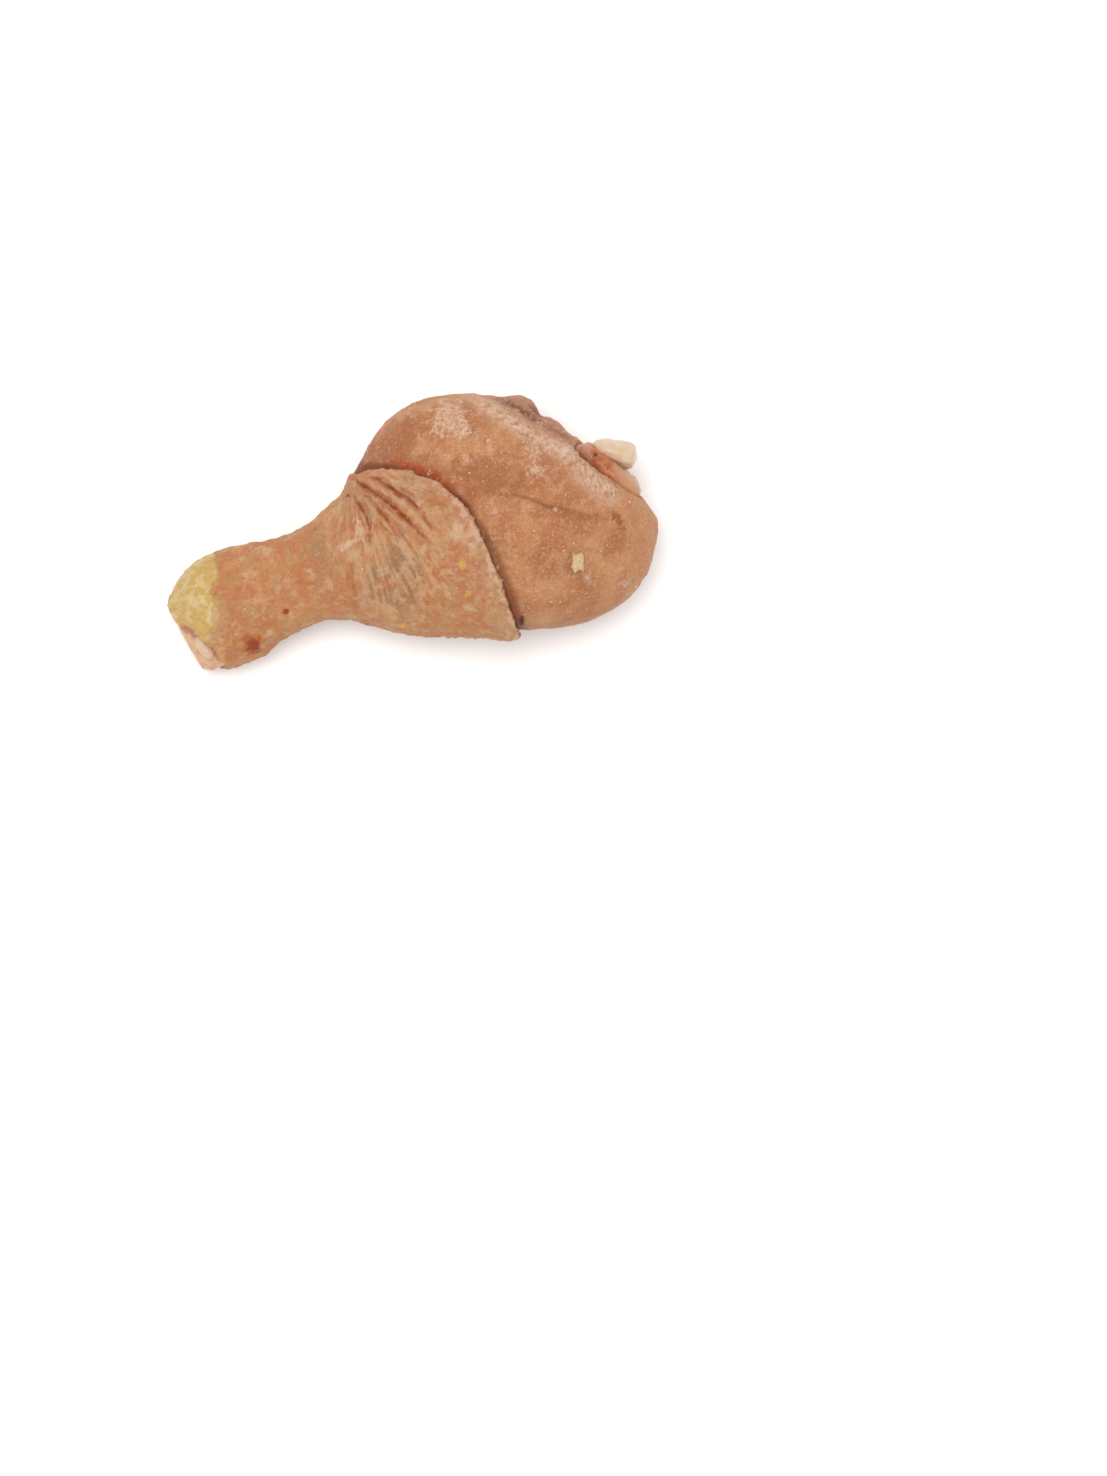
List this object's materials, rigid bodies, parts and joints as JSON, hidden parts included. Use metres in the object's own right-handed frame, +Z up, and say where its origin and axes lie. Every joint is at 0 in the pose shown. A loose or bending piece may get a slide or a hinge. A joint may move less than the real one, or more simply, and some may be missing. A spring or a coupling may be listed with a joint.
{
  "type": "raw chicken drumstick",
  "caption": "Raw chicken drumstick lying on its side: skin sleeve on the shank, bare calf meat, yellow scaly hock skin, cut hock with bone, and white knee cartilage.",
  "frame": {"origin": "middle of the bounding box in plan, at the level of the surface that the drumstick rests on", "axes": "+X along the leg from the cut hock to the thick knee end, +Y towards the side where the knee cartilage stands out, +Z up"},
  "size_m": [0.1304, 0.0672, 0.0461],
  "materials": {
    "meat": "matte frozen muscle under a thin membrane",
    "skin": "matte frozen skin with follicles and fine wrinkles",
    "scale_skin": "smooth scaly skin, satin",
    "gristle": "moist cut tissue, satin",
    "bone": "satin",
    "cartilage": "smooth, satin",
    "ligament": "moist, satin"
  },
  "bodies": {
    "root": {"meat": "meat", "skin": "skin", "hock_scale_skin": "scale_skin", "hock_gristle": "gristle", "bone": "bone", "knee_cartilage": "cartilage", "knee_gristle": "ligament"}
  },
  "joints": []
}
